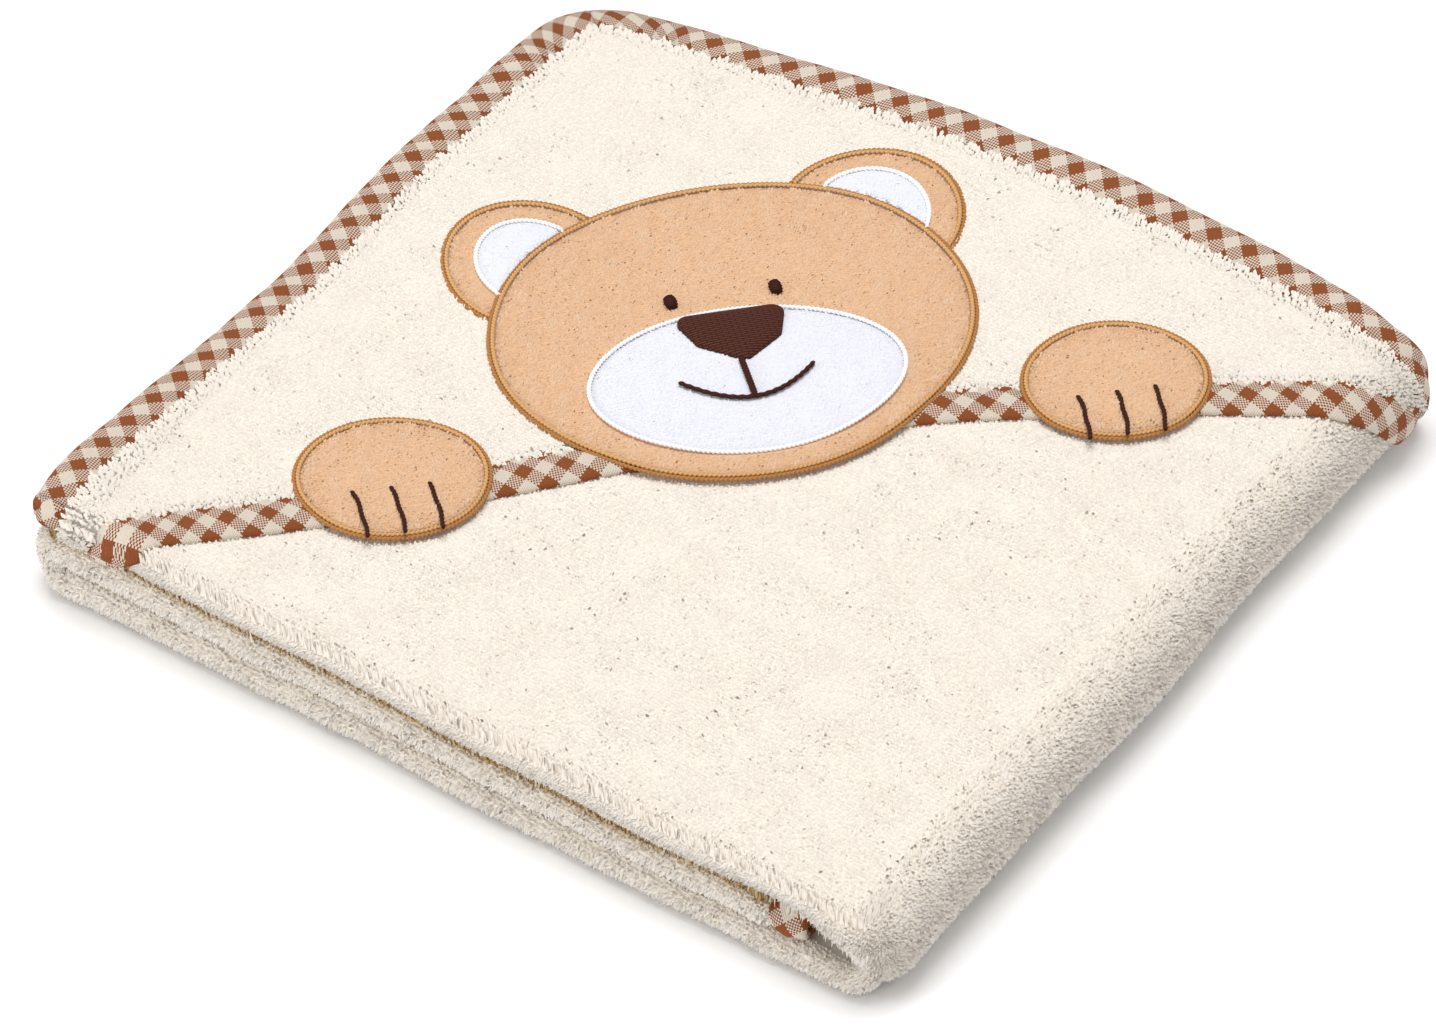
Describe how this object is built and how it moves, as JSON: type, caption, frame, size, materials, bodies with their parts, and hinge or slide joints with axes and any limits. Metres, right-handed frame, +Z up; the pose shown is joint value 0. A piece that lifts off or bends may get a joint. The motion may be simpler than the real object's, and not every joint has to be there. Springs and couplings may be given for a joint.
{
  "type": "hooded baby towel",
  "caption": "Square terry towel with a hood corner, bias binding and an appliqued bear, folded in thirds both ways into a flat packet that opens at its rolled fold.",
  "frame": {"origin": "middle of the packet's underside", "axes": "+Z up; the hood's corner and the bear's ears point to (-X, +Y); the rolled fold that opens is at +X and the strip's own folds face -Y"},
  "size_m": [0.27, 0.27, 0.0334],
  "materials": {
    "terry_cream": "cotton terry, matt",
    "gingham_cotton": "plain-woven checked cotton, matt",
    "plush_tan": "short plush, matt",
    "plush_white": "short plush, matt",
    "thread_gold": "satin stitch, slight sheen",
    "thread_white": "satin stitch, slight sheen",
    "thread_brown": "embroidery thread, slight sheen"
  },
  "bodies": {
    "base": {"towel_base_cloth": "terry_cream", "base_edge_binding": "gingham_cotton", "base_tucked_binding": "gingham_cotton", "base_end_binding": "gingham_cotton"},
    "fold_spine": {"towel_spine_cloth": "terry_cream", "spine_edge_binding": "gingham_cotton", "spine_tucked_binding": "gingham_cotton"},
    "top_flap": {"towel_top_cloth": "terry_cream", "top_roll_binding": "gingham_cotton", "top_tucked_binding": "gingham_cotton", "top_end_binding": "gingham_cotton", "hood_right_binding": "gingham_cotton", "hood_left_binding": "gingham_cotton", "hood_panel": "terry_cream", "hood_hem_binding": "gingham_cotton", "head_patch": "plush_tan", "head_border": "thread_gold", "ear_left": "plush_tan", "ear_right": "plush_tan", "ear_border_left": "thread_gold", "ear_border_right": "thread_gold", "inner_ear_left": "plush_white", "inner_ear_right": "plush_white", "muzzle_patch": "plush_white", "muzzle_border": "thread_white", "nose": "thread_brown", "eye_left": "thread_brown", "eye_right": "thread_brown", "philtrum": "thread_brown", "mouth": "thread_brown", "paw_left": "plush_tan", "paw_right": "plush_tan", "paw_border_left": "thread_gold", "paw_border_right": "thread_gold", "claw_left_1": "thread_brown", "claw_left_2": "thread_brown", "claw_left_3": "thread_brown", "claw_right_1": "thread_brown", "claw_right_2": "thread_brown", "claw_right_3": "thread_brown"}
  },
  "joints": [
    {"name": "lower_fold", "type": "hinge", "parent": "base", "child": "fold_spine", "pos_m": [0.13203, 0, 0.00297], "axis": [0, 1, 0], "range_deg": [0, 90]},
    {"name": "upper_fold", "type": "hinge", "parent": "fold_spine", "child": "top_flap", "pos_m": [0.13203, 0, 0.02703], "axis": [0, 1, 0], "range_deg": [0, 90]}
  ],
  "couplings": [
    {"joint": "upper_fold", "follows": "lower_fold", "ratio": 1}
  ]
}
